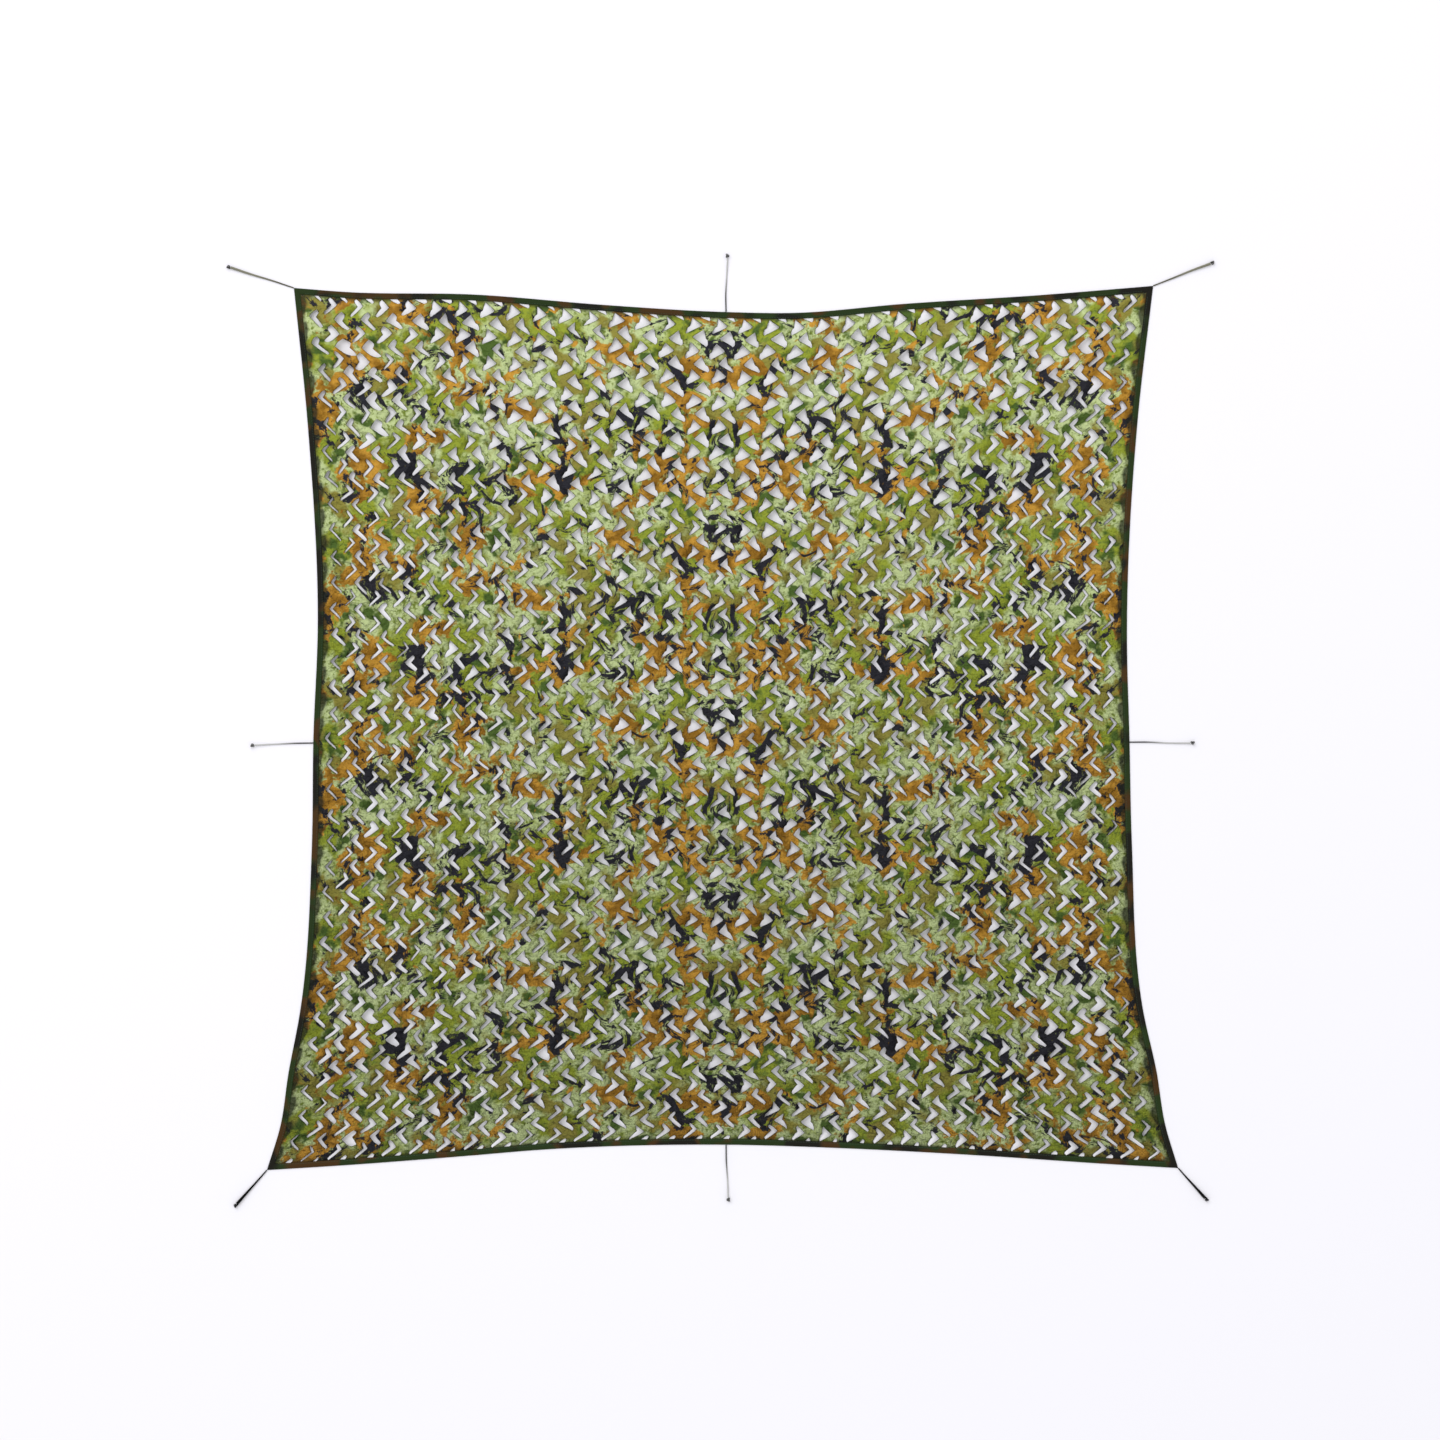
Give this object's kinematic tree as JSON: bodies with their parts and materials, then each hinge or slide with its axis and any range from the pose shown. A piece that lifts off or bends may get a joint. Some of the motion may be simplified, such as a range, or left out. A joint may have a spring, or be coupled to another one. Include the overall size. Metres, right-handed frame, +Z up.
{
  "type": "camouflage net",
  "caption": "Square leaf-cut camouflage net spread out flat, its bound edges drawn in between short knotted tie cords at the corners and middles.",
  "frame": {"origin": "middle of the net's outline, on the surface that it lies on; the tie cords are left out of that outline", "axes": "+Z up out of the printed face, +Y towards the net's top edge, +X to the right along its wider bottom edge"},
  "size_m": [3.3582, 3.2419, 0.0194],
  "materials": {
    "net_fabric": "matte printed polyester, green, sage, orange-brown and near-black blotches",
    "binding_tape": "matte printed tape, dark green and brown",
    "cord_olive": "braided cord, pale olive grey",
    "cord_grey": "braided cord, pale grey",
    "cord_black": "braided cord, black"
  },
  "bodies": {
    "root": {"net_cloth": "net_fabric", "binding_bottom": "binding_tape", "binding_top": "binding_tape", "binding_left": "binding_tape", "binding_right": "binding_tape", "tie_cord_top_left": "cord_olive", "tie_cord_top_right": "cord_olive", "tie_cord_bottom_right": "cord_black", "tie_cord_bottom_left": "cord_black", "tie_cord_top_middle": "cord_grey", "tie_cord_left_middle": "cord_grey", "tie_cord_right_middle": "cord_grey", "tie_cord_bottom_middle": "cord_grey", "end_knot_top_left": "cord_olive", "end_knot_top_right": "cord_olive", "end_knot_bottom_right": "cord_black", "end_knot_bottom_left": "cord_black", "end_knot_top_middle": "cord_grey", "end_knot_left_middle": "cord_grey", "end_knot_right_middle": "cord_grey", "end_knot_bottom_middle": "cord_grey"}
  },
  "joints": []
}
